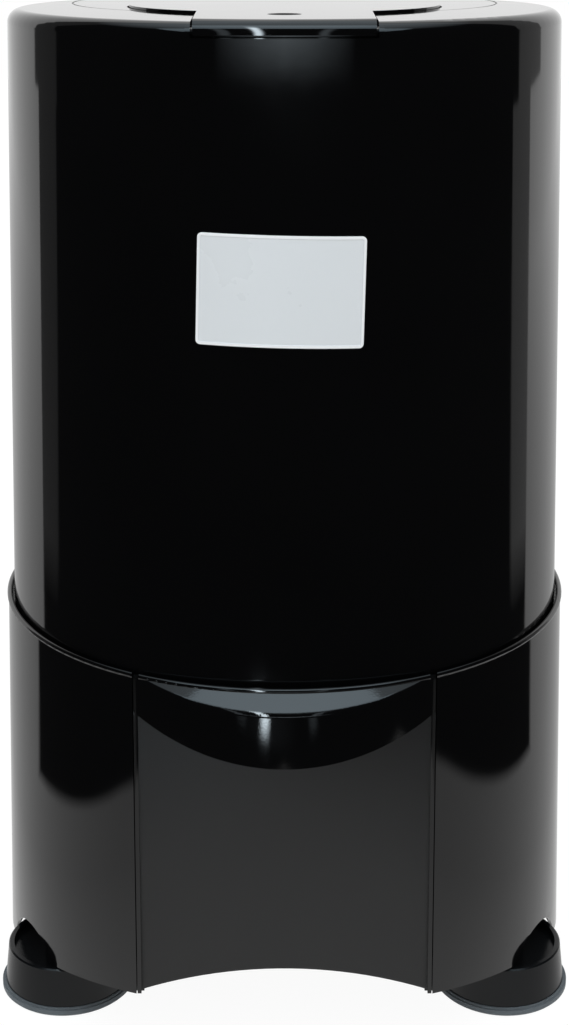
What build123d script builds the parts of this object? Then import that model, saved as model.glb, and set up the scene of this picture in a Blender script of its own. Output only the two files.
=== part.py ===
# Portable spin dryer. A tall round casing in two halves stands on three rubber-soled feet.
# A round lid with a front tongue is hinged at the back of the deck. Inside, a tub, a motor and a
# perforated drum hang together on a plate that three rubber mounts carry. Water leaves by a
# spout under the front hood. Opening the lid lets a rod rise, and the rod swings the brake shoe.
# The origin is on the floor, on the drum's axis. The front faces -Y and +Z is up. Millimetres.
import os
from math import asin, cos, degrees, radians, sin, sqrt, tan

from build123d import *

os.makedirs("parts", exist_ok=True)

# Overall sizes
height = 592.0
lip_height = 232.0
overrun = 4.0
screw_clearance = 0.1
running_clearance = 0.05
soft_clearance = 0.3

# Lower casing
base_top_radius = 173.4
base_flare = 3.9
base_wall = 2.4
base_low_radius = base_top_radius + base_flare
lip_bead_radius = 1.7
skirt_clearance = 9.0
skirt_knee = 20.0
skirt_front_rise = 32.0
skirt_front_run = 140.0
ledge_width = 12.4
ledge_thickness = 2.4
ledge_inner_radius = base_top_radius - ledge_width
arch_radius = 42.0

# Upper casing, which stands in the lower one
shell_rim_gap = 3.4
shell_draft = 5.5
shell_low_radius = base_top_radius - shell_rim_gap
shell_top_radius = shell_low_radius - shell_draft
shell_wall = 2.8
shell_skirt = 10.0
shoulder_radius = 8.0
facet_top_half_width = 52.0
facet_low_half_width = 83.0
facet_setback = 22.8
shell_foot_ring = 6.0
shell_foot_thickness = 3.0
deck_seam_radius = 132.0
deck_seam_centre = 52.0
deck_seam_width = 1.2
deck_seam_depth = 0.8

# Lid and the well it lies in
lid_round_radius = 93.0
lid_centre = 2.0
lid_gap = 1.2
lid_proud = 1.5
tongue_proud = 0.6
lid_bevel_width = 1.4
lid_bevel_height = 2.0
tongue_half_width = 47.3
tongue_root_half_width = 49.0
tongue_roll = 7.0
well_gap = 0.6
well_wall = 2.6
liner_radius = 80.0
liner_depth = 18.0
liner_wall = 2.0
seal_width = 3.4
seal_height = 6.0

# Mouth of the deck
mouth_radius = 84.0
collar_wall = 2.4
collar_length = 32.0

# Lid hinge
hinge_setback = 6.5
hinge_drop = 5.5
hinge_spacing = 44.0
knuckle_radius = 4.2
knuckle_length = 14.0
knuckle_side_gap = 0.5
finger_length = 13.0
finger_sink = 1.0
hinge_pin_radius = 2.0
pocket_front_gap = 1.2
pocket_back = 7.5
pocket_room = 0.9
pocket_wall = 2.4

# Push button in the lid's tongue, and the switch under it
button_radius = 9.0
button_gap = 0.25
button_centre = 110.0
button_sink = 0.4
button_dish = 0.8
button_flange = 1.8
button_flange_thickness = 1.8
button_stem_radius = 3.0
button_stem_length = 8.0
button_travel = 3.0
button_room = 1.2
switch_width = 30.0
switch_height = 22.0
switch_stem_gap = 1.0

# Lid lock: a tab under the lid, and a bolt in a housing under the deck
lock_offset = 32.0
lock_centre = 124.0
tab_width = 12.0
tab_thickness = 3.0
tab_length = 23.0
tab_slot_gap = 2.0
bolt_size = 5.0
bolt_length = 22.5
bolt_gap = 0.1
bolt_nose_gap = 3.0
tab_window_gap = 1.0
tab_window_floor = 3.0
lock_width = 30.0
lock_length = 27.0
lock_depth = 24.0
lock_back_wall = 2.2

# Interlock rod, its cage and spring
rod_offset = 24.0
rod_distance = 144.0
rod_foot_distance = 128.0
rod_bend_height = 198.0
rod_bend_drop = 20.0
rod_bend_radius = 14.0
plunger_radius = 3.0
plunger_gap = 0.4
plunger_travel = 4.0
rod_radius = 2.0
cage_radius = 7.5
cage_length = 56.0
cage_floor = 3.0
cage_roof = 14.0
cage_bore_radius = 6.2
rod_collar_radius = 5.9
rod_collar_thickness = 3.0
rod_collar_gap = 9.0
spring_radius = 4.6
spring_wire_radius = 0.6
spring_turns = 5

# Front panel with its hood
panel_half_width = 84.0
panel_gap = 0.6
panel_depth = 21.0
panel_distance = base_top_radius - panel_depth
panel_wall = 2.4
panel_low_side = 40.0
panel_low_middle = 54.0
hood_projection = 10.2
hood_reach = base_top_radius + hood_projection
hood_slope = 41.0
hood_crease_radius = 4.0
lap_width = 3.5
lap_drop = 1.5
panel_bead_short = 3.5
panel_bead_half_width = panel_half_width - panel_bead_short
hood_edge_side = 211.0
hood_edge_middle = 192.0

# Floor pan
pan_height = 56.0
pan_thickness = 3.0
pan_wall_gap = 5.3
pan_radius = base_low_radius - pan_wall_gap
pan_flange_width = 14.0
pan_front_gap = 0.6
pan_hole_radius = 22.0
vent_radius = 5.0
vent_circle = 40.0
vent_count = 10

# Feet
foot_angle = 60.0
foot_inset = 23.8
foot_circle = base_low_radius - foot_inset
pad_radius = 40.6
pad_thickness = 5.0
pad_rim_step = 1.2
cup_low_radius = 38.5
cup_top_radius = 36.2
cup_height = 23.0
cup_rim = 3.2
cup_dish = 4.0
stem_radius = 14.0
stem_flange_radius = 18.0
stem_flange_thickness = 3.0

# Tub
tub_side_room = 30.5
tub_radius = shell_top_radius - tub_side_room
tub_wall = 2.4
tub_floor = 205.0
tub_floor_thickness = 3.0
tub_headroom = 44.0
tub_top = height - tub_headroom
tub_corner = 8.0
cover_gap = 0.2
cover_skirt = 8.0
cover_mouth_radius = 94.0
cover_lip_height = 12.0
boot_height = 5.0

# Drain
spigot_radius = 9.0
spigot_wall = 2.0
spigot_height = 215.0
spigot_length = 8.0
spout_joint_gap = 0.3
spout_bend = 12.0
spout_drop = 14.0
spout_hole_gap = 1.0
sleeve_wall = 2.5
sleeve_length = 12.0

# Drum, hub and shaft
drum_side_gap = 18.0
drum_radius = tub_radius - drum_side_gap
drum_wall = 1.2
drum_floor = 226.0
drum_floor_thickness = 2.0
drum_headroom = 18.0
drum_top = tub_top - drum_headroom
drum_corner = 14.0
drum_mouth_radius = 88.0
drum_hole_radius = 3.6
drum_hole_columns = 12
drum_hole_rows = 6
drum_hole_low = 266.0
drum_plain_band = 44.0
drum_hole_high = drum_top - drum_plain_band
ring_height = 20.0
ring_width = 13.0
hub_radius = 48.0
hub_flange = 4.5
hub_boss_radius = 18.0
hub_boss_low = 215.0
hub_boss_top = 236.0
hub_nut_radius = 10.0
hub_nut_height = 7.0
shaft_radius = 6.0
shaft_low = 62.0
shaft_top = 246.0

# Bearings, seal and bearing housing
bearing_radius = 16.0
bearing_width = 10.0
bearing_race = 2.6
upper_bearing_low = 186.0
housing_flange_radius = 50.0
housing_flange = 3.0
housing_neck_radius = 26.0
housing_top_radius = 58.0
housing_top_flange = 3.5
housing_spigot_radius = 22.0
housing_spigot = 7.0
seal_radius = 14.0
seal_thickness = 6.0
tub_bolt_circle = 46.0
tub_bolt_radius = 3.0
tub_bolt_head_radius = 5.5
tub_bolt_head = 3.0
tub_bolt_count = 6

# Carrier plate, rubber mounts and their towers
carrier_height = 178.0
carrier_thickness = 3.0
carrier_inset = 30.0
carrier_radius = tub_radius - carrier_inset
carrier_bore_radius = 20.0
mount_inset = 16.0
mount_circle = tub_radius - mount_inset
lobe_radius = 24.0
mount_radius = 15.0
mount_waist = 3.0
tower_top = 134.0
tower_top_radius = 18.0
tower_low_radius = 25.0
tower_wall = 2.4
stud_radius = 4.0
stud_nut_radius = 7.0
stud_nut_height = 5.5

# Motor
motor_radius = 60.0
stator_low = 96.0
stator_height = 40.0
stator_bore_radius = 31.2
rotor_radius = 30.6
rotor_overhang = 1.0
winding_inner_radius = 35.0
winding_outer_radius = 52.0
winding_height = 9.0
shield_height = 16.0
shield_wall = 3.0
shield_hole_radius = 9.0
ear_radius = 8.0
pillar_circle = 66.0
pillar_radius = 4.0
spacer_radius = 6.0
bolt_head = 3.0
fan_radius = 48.0
fan_low = 65.0
fan_thickness = 2.0
fan_blade_height = 9.0
fan_blade_thickness = 1.6
fan_hub_radius = 12.0
fan_blade_count = 8

# Brake
brake_drum_radius = 38.0
brake_drum_low = 154.0
brake_drum_height = 20.0
brake_web = 4.0
brake_rim = 6.0
lever_pivot_distance = 76.0
lever_pivot_height = 130.0
lever_thickness = 3.0
lever_width = 36.0
lever_eye_radius = 8.0
lever_eye_bore = 3.2
lever_barrel_radius = 4.5
lever_pin_radius = 2.0
lever_arm_width = 14.0
lever_arm_thickness = 4.0
lever_arm_height = 36.0
shoe_gap = 3.4
shoe_depth = 8.0
shoe_height = 12.0
shoe_width = 28.0
rod_end_collar_radius = 5.0
rod_end_collar = 2.5
rod_end_gap = 0.5
rod_end_tip = 1.5
bracket_gap = 4.0
bracket_wall = 2.4
bracket_depth = 16.0
bracket_below_pin = 6.0

# Capacitor and its clip
capacitor_radius = 19.0
capacitor_height = 66.0
capacitor_side = 95.0
capacitor_back = 50.0
clip_wall = 1.6
clip_height = 12.0
clip_foot = 12.0

# Cord inlet
gland_height = 100.0
gland_radius = 8.0
gland_flange_radius = 11.0
gland_flange = 2.6
gland_bore_radius = 4.0
gland_tail = 6.0

# Casing screws
screw_radius = 2.0
screw_head_radius = 4.0
screw_head = 2.4
pan_screw_inset = 11.3
pan_screw_circle = base_low_radius - pan_screw_inset
ledge_screw_inset = 9.0
ledge_screw_circle = base_top_radius - ledge_screw_inset

# Places worked out from the sizes above
shell_bottom = lip_height - shell_skirt
lap_low = panel_low_side - lap_drop
lap_top = pan_height - pan_front_gap
deck_under = height - shell_wall
well_floor = height - shell_wall - well_gap
well_under = well_floor - well_wall
hinge_distance = lid_centre + lid_round_radius + hinge_setback
hinge_height = height - hinge_drop
foot_places = {
    "left": (-foot_circle * sin(radians(foot_angle)), -foot_circle * cos(radians(foot_angle))),
    "right": (foot_circle * sin(radians(foot_angle)), -foot_circle * cos(radians(foot_angle))),
    "rear": (0, hood_reach - pad_radius),
}
mount_places = {
    "left": (-mount_circle * sin(radians(foot_angle)), -mount_circle * cos(radians(foot_angle))),
    "right": (mount_circle * sin(radians(foot_angle)), -mount_circle * cos(radians(foot_angle))),
    "rear": (0, mount_circle),
}
pillar_places = [
    (-pillar_circle * sin(radians(foot_angle)), -pillar_circle * cos(radians(foot_angle))),
    (pillar_circle * sin(radians(foot_angle)), -pillar_circle * cos(radians(foot_angle))),
    (0, pillar_circle),
]


ledge_screw_angles = (45, 135, 205, 335)
pan_screw_angles = (5, 60, 120, 175, 230, 310)


def write(part, label):
    """Labels a finished piece and writes it as one file."""
    part.label = label
    export_step(part, f"parts/{label}.step")


def upright(x=0, y=0):
    """The axis that a turned piece at x, y is turned about."""
    return Axis((x, y, 0), (0, 0, 1))


def turned(points, x=0, y=0):
    """A closed half profile of radius and height pairs, standing on the upright axis at x, y."""
    with BuildSketch(Plane(origin=(x, y, 0), x_dir=(1, 0, 0), z_dir=(0, -1, 0))) as profile:
        with BuildLine():
            Polyline(*points, close=True)
        make_face()
    return profile.sketch


def tube(outer, inner, low, high):
    """The half profile of a plain ring."""
    return turned([(inner, low), (outer, low), (outer, high), (inner, high)])


def disc(radius, low, high):
    """The half profile of a plain disc."""
    return turned([(0, low), (radius, low), (radius, high), (0, high)])


def rounds(places, radius, level):
    """Equal circles at a list of places, on one level."""
    with BuildSketch(Plane.XY.offset(level)) as circles:
        with Locations(*places):
            Circle(radius)
    return circles.sketch


def ring_places(radius, count, start=0):
    """Places spaced evenly round a circle, from a start angle counted from +X."""
    angles = [start + 360 / count * index for index in range(count)]
    return [(radius * cos(radians(angle)), radius * sin(radians(angle))) for angle in angles]


def base_radius(level):
    """Outer radius of the lower casing at a height."""
    return base_low_radius + (base_top_radius - base_low_radius) * level / lip_height


def shell_cone(top_radius, low_radius, setback, low, high):
    """The half profile of a cone about an axis set back from the middle. Its two radii are those
    at the shoulder and at the casing's bottom edge."""
    slope = (low_radius - top_radius) / (height - shoulder_radius - shell_bottom)
    low_edge = low_radius + slope * (shell_bottom - low)
    high_edge = low_radius + slope * (shell_bottom - high)
    return turned([(0, low), (low_edge, low), (high_edge, high), (0, high)], y=setback)


def facet_radius(shell_radius, half_width):
    """Radius, about the facet's own axis, that meets the casing at a half width from the middle."""
    side = sqrt(shell_radius**2 - half_width**2)
    return sqrt(half_width**2 + (side + facet_setback) ** 2)


def shell_form(inset):
    """The upper casing's outer shape, drawn in by an inset: a cone whose front a wider cone
    flattens, rounded all along its top edge."""
    top = height - inset
    facet_top = facet_radius(shell_top_radius, facet_top_half_width) - inset
    facet_low = facet_radius(shell_low_radius, facet_low_half_width) - inset
    low, high = shell_bottom - overrun, top + overrun
    with BuildPart() as form:
        revolve(
            shell_cone(shell_top_radius - inset, shell_low_radius - inset, 0, shell_bottom, top),
            axis=upright(),
        )
        revolve(
            shell_cone(facet_top, facet_low, facet_setback, low, high),
            axis=upright(y=facet_setback),
            mode=Mode.INTERSECT,
        )
        fillet(form.faces().sort_by(Axis.Z)[-1].edges(), shoulder_radius - inset)
    return form.part


def lid_zone(grow):
    """The upright prism that the lid is cut from: a round with a tongue, grown by a gap."""
    root = lid_centre - sqrt(lid_round_radius**2 - tongue_root_half_width**2)
    with BuildPart() as zone:
        with BuildSketch(Plane.XY.offset(height - tongue_roll - grow)) as outline:
            with Locations((0, lid_centre)):
                Circle(lid_round_radius + grow)
            with BuildLine():
                Polyline(
                    (-tongue_half_width - grow, -shell_low_radius),
                    (tongue_half_width + grow, -shell_low_radius),
                    (tongue_root_half_width + grow, root),
                    (0, lid_centre),
                    (-tongue_root_half_width - grow, root),
                    close=True,
                )
            make_face()
        extrude(amount=tongue_roll + grow + overrun)
    return zone.part


ledge_screw_places = [
    (ledge_screw_circle * cos(radians(angle)), ledge_screw_circle * sin(radians(angle)))
    for angle in ledge_screw_angles
]
pan_screw_places = [
    (pan_screw_circle * cos(radians(angle)), pan_screw_circle * sin(radians(angle)))
    for angle in pan_screw_angles
]

# Upper casing: one moulding with the deck, the well for the lid, the mouth and the hinge pockets
outer_form = shell_form(0)
skin_form = shell_form(shell_wall)
well_form = shell_form(shell_wall + well_gap)
inner_form = shell_form(shell_wall + well_gap + well_wall)
hinge_sides = (-hinge_spacing / 2, hinge_spacing / 2)
pocket_half = knuckle_length / 2 + knuckle_side_gap
pocket_front = finger_length + pocket_front_gap
pocket_floor = hinge_height - knuckle_radius - pocket_room

with BuildPart() as well_block:
    add(outer_form)
    add(inner_form, mode=Mode.SUBTRACT)
    add(lid_zone(lid_gap + well_wall), mode=Mode.INTERSECT)

with BuildPart() as well_room:
    add(outer_form)
    add(well_form, mode=Mode.SUBTRACT)
    add(lid_zone(lid_gap), mode=Mode.INTERSECT)

with BuildPart() as upper_shell:
    add(outer_form)
    add(skin_form, mode=Mode.SUBTRACT)
    add(well_block.part)
    revolve(tube(mouth_radius + collar_wall, mouth_radius, well_floor - collar_length, well_floor))
    revolve(
        tube(
            shell_low_radius - shell_wall / 2,
            shell_low_radius - shell_wall - shell_foot_ring,
            shell_bottom,
            shell_bottom + shell_foot_thickness,
        )
    )
    for side in hinge_sides:
        with BuildSketch(Plane.XY.offset(pocket_floor - pocket_wall)):
            with Locations((side, hinge_distance + (pocket_back - pocket_front) / 2)):
                Rectangle(
                    2 * (pocket_half + pocket_wall), pocket_front + pocket_back + 2 * pocket_wall
                )
        extrude(amount=height - shell_wall / 2 - pocket_floor + pocket_wall)
    add(well_room.part, mode=Mode.SUBTRACT)
    for side in hinge_sides:
        with BuildSketch(Plane.XY.offset(pocket_floor)):
            with Locations((side, hinge_distance + (pocket_back - pocket_front) / 2)):
                Rectangle(2 * pocket_half, pocket_front + pocket_back)
        extrude(amount=height, mode=Mode.SUBTRACT)
        with BuildSketch(Plane.YZ.offset(side - pocket_half - pocket_wall - overrun)):
            with Locations((hinge_distance, hinge_height)):
                Circle(hinge_pin_radius + running_clearance / 2)
        extrude(amount=2 * (pocket_half + pocket_wall + overrun), mode=Mode.SUBTRACT)
    with BuildSketch(Plane.XY.offset(well_under - overrun)):
        Circle(mouth_radius)
        with Locations((0, -button_centre)):
            Circle(button_radius + button_flange + button_room)
        with Locations((-lock_offset, -lock_centre)):
            Rectangle(tab_width + tab_slot_gap, tab_thickness + 2 * tab_slot_gap)
        with Locations((rod_offset, -rod_distance)):
            Circle(plunger_radius + running_clearance)
    extrude(amount=height, mode=Mode.SUBTRACT)
    with BuildSketch(Plane.XY.offset(height - deck_seam_depth)):
        with Locations((0, deck_seam_centre)):
            Circle(deck_seam_radius + deck_seam_width / 2)
            Circle(deck_seam_radius - deck_seam_width / 2, mode=Mode.SUBTRACT)
    extrude(amount=overrun, mode=Mode.SUBTRACT)
    extrude(
        rounds(ledge_screw_places, screw_radius + screw_clearance, shell_bottom),
        amount=shell_foot_thickness,
        mode=Mode.SUBTRACT,
    )
write(upper_shell.part, "upper_shell")

# Lid: the same outer skin, cut out by its own outline, with hinge fingers and the lock's tab
finger_half = knuckle_length / 2
finger_top = deck_under + finger_sink
tab_low = deck_under - tab_length

with BuildPart() as lid:
    add(outer_form.moved(Location((0, -tongue_proud, lid_proud))))
    add(skin_form, mode=Mode.SUBTRACT)
    add(lid_zone(0), mode=Mode.INTERSECT)
    revolve(
        turned(
            [
                (lid_round_radius - lid_bevel_width, deck_under),
                (lid_round_radius, deck_under + lid_bevel_height),
                (lid_round_radius + lid_gap, deck_under + lid_bevel_height),
                (lid_round_radius + lid_gap, deck_under - overrun),
                (lid_round_radius - lid_bevel_width, deck_under - overrun),
            ],
            y=lid_centre,
        ),
        axis=upright(y=lid_centre),
        revolution_arc=180,
        mode=Mode.SUBTRACT,
    )
    for side in hinge_sides:
        with BuildSketch(Plane.YZ.offset(side - finger_half)):
            with Locations((hinge_distance, hinge_height)):
                Circle(knuckle_radius)
            with Locations((hinge_distance - finger_length / 2, (hinge_height + finger_top) / 2)):
                Rectangle(finger_length, finger_top - hinge_height)
        extrude(amount=knuckle_length)
        with BuildSketch(Plane.YZ.offset(side - finger_half - overrun)):
            with Locations((hinge_distance, hinge_height)):
                Circle(hinge_pin_radius + running_clearance)
        extrude(amount=knuckle_length + 2 * overrun, mode=Mode.SUBTRACT)
    with BuildSketch(Plane.XY.offset(tab_low)):
        with Locations((-lock_offset, -lock_centre)):
            Rectangle(tab_width, tab_thickness)
    extrude(amount=tab_length + shell_wall / 2)
    with BuildSketch(Plane.XZ.offset(lock_centre - tab_thickness)):
        with Locations((-lock_offset, tab_low + tab_window_floor + tab_window_gap + bolt_size / 2)):
            Rectangle(bolt_size + 2 * tab_window_gap, bolt_size + 2 * tab_window_gap)
    extrude(amount=2 * tab_thickness, mode=Mode.SUBTRACT)
    extrude(
        rounds([(0, -button_centre)], button_radius + button_gap, deck_under - overrun),
        amount=height,
        mode=Mode.SUBTRACT,
    )
write(lid.part, "lid")

with BuildPart() as lid_liner:
    liner_low = deck_under - liner_depth
    revolve(
        turned(
            [
                (0, liner_low),
                (liner_radius - liner_wall, liner_low),
                (liner_radius, liner_low + liner_wall),
                (liner_radius, deck_under),
                (liner_radius - liner_wall, deck_under),
                (liner_radius - liner_wall, liner_low + liner_wall),
                (0, liner_low + liner_wall),
            ]
        )
    )
write(lid_liner.part, "lid_liner")

with BuildPart() as lid_seal:
    revolve(
        tube(
            liner_radius + seal_width,
            liner_radius + soft_clearance / 2,
            deck_under - seal_height,
            deck_under - soft_clearance,
        )
    )
write(lid_seal.part, "lid_seal")

with BuildPart() as hinge_pins:
    for side in hinge_sides:
        with BuildSketch(Plane.YZ.offset(side - pocket_half - pocket_wall)):
            with Locations((hinge_distance, hinge_height)):
                Circle(hinge_pin_radius)
        extrude(amount=2 * (pocket_half + pocket_wall))
write(hinge_pins.part, "hinge_pins")

# Push button: a dished cap, a flange that keeps it in the lid, and a stem down to the switch
button_top = height + lid_proud - button_sink
flange_top = deck_under - soft_clearance / 2

with BuildPart() as lid_button:
    revolve(
        turned(
            [
                (0, flange_top - button_stem_length),
                (button_stem_radius, flange_top - button_stem_length),
                (button_stem_radius, flange_top - button_flange_thickness),
                (button_radius + button_flange, flange_top - button_flange_thickness),
                (button_radius + button_flange, flange_top),
                (button_radius, flange_top),
                (button_radius, button_top),
                (button_radius - button_dish, button_top),
                (0, button_top - button_dish),
            ],
            y=-button_centre,
        ),
        axis=upright(y=-button_centre),
    )
write(lid_button.part, "lid_button")

with BuildPart() as start_switch:
    with BuildSketch(Plane.XY.offset(well_under - switch_height)):
        with Locations((0, -button_centre)):
            Rectangle(switch_width, switch_width)
    extrude(amount=switch_height)
    fillet(start_switch.edges().filter_by(Axis.Z), button_room)
    switch_well = flange_top - button_flange_thickness - button_travel - button_room
    flange_slot = 2 * (button_radius + button_flange + button_room)
    stem_floor = flange_top - button_stem_length - button_travel - button_room
    stem_slot = 2 * (button_stem_radius + switch_stem_gap)
    for slot_floor, slot_width in ((switch_well, flange_slot), (stem_floor, stem_slot)):
        with BuildSketch(Plane.XY.offset(slot_floor)):
            with Locations((0, -button_centre)):
                Rectangle(2 * switch_width, slot_width)
        extrude(amount=switch_height, mode=Mode.SUBTRACT)
write(start_switch.part, "start_switch")

# Lid lock: a square bolt that slides forward through the window of the lid's tab
bolt_low = tab_low + tab_window_floor + tab_window_gap
lock_front = lock_centre - tab_thickness / 2 - bolt_nose_gap + bolt_gap

with BuildPart() as lock_housing:
    with BuildSketch(Plane.XY.offset(well_under - lock_depth)):
        with Locations((-lock_offset, -lock_front + lock_length / 2)):
            Rectangle(lock_width, lock_length)
    extrude(amount=lock_depth)
    fillet(lock_housing.edges().filter_by(Axis.Z), button_room)
    with BuildSketch(Plane.XZ.offset(lock_front + overrun)):
        with Locations((-lock_offset, bolt_low + bolt_size / 2)):
            Rectangle(bolt_size + 2 * bolt_gap, bolt_size + 2 * bolt_gap)
    extrude(amount=-(lock_length - lock_back_wall + overrun), mode=Mode.SUBTRACT)
write(lock_housing.part, "lock_housing")

with BuildPart() as lock_bolt:
    with BuildSketch(Plane.XZ.offset(lock_front)):
        with Locations((-lock_offset, bolt_low + bolt_size / 2)):
            Rectangle(bolt_size, bolt_size)
    extrude(amount=-bolt_length)
    chamfer(lock_bolt.faces().sort_by(Axis.Y)[0].edges(), bolt_gap * 5)
write(lock_bolt.part, "lock_bolt")

# Interlock rod: the closed lid holds it down against the spring in its cage
plunger_top = deck_under - plunger_gap
cage_low = well_under - cage_length
spring_low = cage_low + cage_floor
collar_low = well_under - cage_roof - rod_collar_gap - rod_collar_thickness
eye_low = lever_pivot_height - lever_thickness / 2
eye_high = lever_pivot_height + lever_thickness / 2
rod_low = eye_low - rod_end_gap - rod_end_collar - rod_end_tip

with BuildPart() as interlock_rod:
    with BuildLine() as rod_path:
        FilletPolyline(
            (rod_offset, -rod_distance, collar_low + rod_collar_thickness / 2),
            (rod_offset, -rod_distance, rod_bend_height),
            (rod_offset, -rod_foot_distance, rod_bend_height - rod_bend_drop),
            (rod_offset, -rod_foot_distance, rod_low),
            radius=rod_bend_radius,
        )
    with BuildSketch(Plane(origin=rod_path.line @ 0, z_dir=rod_path.line % 0)):
        Circle(rod_radius)
    sweep(path=rod_path.line)
    revolve(
        turned(
            [
                (0, collar_low),
                (rod_collar_radius, collar_low),
                (rod_collar_radius, collar_low + rod_collar_thickness),
                (plunger_radius, collar_low + rod_collar_thickness),
                (plunger_radius, plunger_top),
                (0, plunger_top),
            ],
            rod_offset,
            -rod_distance,
        ),
        axis=upright(rod_offset, -rod_distance),
    )
    rod_foot = [(rod_offset, -rod_foot_distance)]
    extrude(
        rounds(rod_foot, rod_end_collar_radius, eye_low - rod_end_gap - rod_end_collar),
        amount=rod_end_collar,
    )
    extrude(rounds(rod_foot, rod_end_collar_radius, eye_high + rod_end_gap), amount=rod_end_collar)
write(interlock_rod.part, "interlock_rod")

with BuildPart() as rod_cage:
    revolve(
        turned(
            [
                (rod_radius + running_clearance, cage_low),
                (cage_radius, cage_low),
                (cage_radius, well_under),
                (plunger_radius + running_clearance, well_under),
                (plunger_radius + running_clearance, well_under - cage_roof),
                (cage_bore_radius, well_under - cage_roof),
                (cage_bore_radius, spring_low),
                (rod_radius + running_clearance, spring_low),
            ],
            rod_offset,
            -rod_distance,
        ),
        axis=upright(rod_offset, -rod_distance),
    )
write(rod_cage.part, "rod_cage")

spring_room = collar_low - spring_low - 2 * (spring_wire_radius + running_clearance)
with BuildPart() as rod_spring:
    with BuildLine() as coil:
        Helix(
            pitch=spring_room / spring_turns,
            height=spring_room,
            radius=spring_radius,
            center=(rod_offset, -rod_distance, spring_low + spring_wire_radius + running_clearance),
        )
    with BuildSketch(Plane(origin=coil.line @ 0, z_dir=coil.line % 0)):
        Circle(spring_wire_radius)
    sweep(path=coil.line, is_frenet=True)
write(rod_spring.part, "rod_spring")

# Lower casing: a flared skirt with a rolled lip, two inner ledges and an arch over each foot
pan_top = pan_height + pan_thickness
ledge_low = shell_bottom - ledge_thickness
base_form_points = [
    (0, 0),
    (base_low_radius, 0),
    (base_top_radius, lip_height),
    (0, lip_height),
]

with BuildPart() as base_form:
    revolve(turned(base_form_points))

with BuildPart() as base_shell:
    revolve(
        turned(
            [
                (base_low_radius - base_wall, 0),
                (base_low_radius, 0),
                (base_top_radius, lip_height),
                (base_top_radius - base_wall, lip_height),
            ]
        )
    )
    with BuildSketch(Plane.XZ) as bead:
        with Locations((base_top_radius - lip_bead_radius / 2, lip_height)):
            Circle(lip_bead_radius)
    revolve(axis=Axis.Z)
    revolve(
        tube(base_radius(ledge_low) - base_wall / 2, ledge_inner_radius, ledge_low, shell_bottom)
    )
    revolve(
        tube(
            base_radius(pan_top) - base_wall / 2,
            base_radius(pan_top) - base_wall - pan_flange_width,
            pan_top,
            pan_top + ledge_thickness,
        )
    )
    with BuildSketch(Plane.YZ.offset(-hood_reach)):
        with BuildLine():
            Polyline(
                (hood_reach, -overrun),
                (hood_reach, skirt_clearance),
                (-skirt_knee, skirt_clearance),
                (-skirt_knee - skirt_front_run, skirt_clearance + skirt_front_rise),
                (-hood_reach, skirt_clearance + skirt_front_rise),
                (-hood_reach, -overrun),
                close=True,
            )
        make_face()
    extrude(amount=2 * hood_reach, mode=Mode.SUBTRACT)
    with BuildSketch(Plane.XY.offset(-overrun)):
        with Locations((0, -hood_reach)):
            Rectangle(2 * (panel_half_width + panel_gap), hood_reach)
    extrude(amount=height, mode=Mode.SUBTRACT)
    for x, y in foot_places.values():
        with BuildSketch(Plane(origin=(x, y, 0), x_dir=(-y, x, 0), z_dir=(x, y, 0))):
            Circle(arch_radius)
        extrude(amount=foot_circle, both=True, mode=Mode.SUBTRACT)
    extrude(
        rounds(ledge_screw_places, screw_radius + screw_clearance, ledge_low - overrun),
        amount=ledge_thickness + overrun,
        mode=Mode.SUBTRACT,
    )
    extrude(
        rounds(pan_screw_places, screw_radius + screw_clearance, pan_top - overrun),
        amount=ledge_thickness + 2 * overrun,
        mode=Mode.SUBTRACT,
    )
    with BuildSketch(Plane.XZ.offset(-base_low_radius - overrun)):
        with Locations((0, gland_height)):
            Circle(gland_radius + running_clearance)
    extrude(amount=base_wall + 4 * overrun, mode=Mode.SUBTRACT)
write(base_shell.part, "base_shell")


def hood_section(reach, level, inset):
    """One level of the hood: an arc from crease to crease that bulges to its reach."""
    half = panel_half_width - inset
    side = sqrt(base_top_radius**2 - panel_half_width**2) - inset
    back = panel_distance - panel_wall - inset
    with BuildSketch(Plane.XY.offset(level)) as section:
        with BuildLine():
            ThreePointArc((-half, -side), (0, -reach + inset), (half, -side))
            Polyline((half, -side), (half, -back), (-half, -back), (-half, -side))
        make_face()
    return section.sketch


def below_arch(side_level, middle_level):
    """Everything in front view under an arc through a middle level and two side levels."""
    low = min(side_level, middle_level) - base_low_radius
    with BuildSketch(Plane.XZ.offset(panel_distance - 2 * panel_wall)) as region:
        with BuildLine():
            ThreePointArc(
                (-panel_half_width - panel_gap, side_level),
                (0, middle_level),
                (panel_half_width + panel_gap, side_level),
            )
            Polyline(
                (panel_half_width + panel_gap, side_level),
                (panel_half_width + panel_gap, low),
                (-panel_half_width - panel_gap, low),
                (-panel_half_width - panel_gap, side_level),
            )
        make_face()
    return region.sketch


def hood_form(inset):
    """The hood over its lower arc: an upright bulge whose top slopes down and out from the lip."""
    low = hood_edge_middle - overrun
    slope_start = base_top_radius - inset / sin(radians(hood_slope))
    slope_end = hood_reach + overrun
    slope_low = lip_height - (slope_end - slope_start) * tan(radians(hood_slope))
    with BuildPart() as form:
        extrude(hood_section(hood_reach, low, inset), amount=lip_height - low)
        revolve(
            turned([(slope_start, lip_height), (slope_end, slope_low), (slope_end, lip_height)]),
            mode=Mode.SUBTRACT,
        )
        crease = form.edges().filter_by(GeomType.BSPLINE).sort_by(Axis.Z)[-1]
        fillet(crease, hood_crease_radius - inset)
        extrude(
            below_arch(hood_edge_side + inset, hood_edge_middle + inset),
            amount=hood_reach,
            mode=Mode.SUBTRACT,
        )
    return form.part


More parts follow.
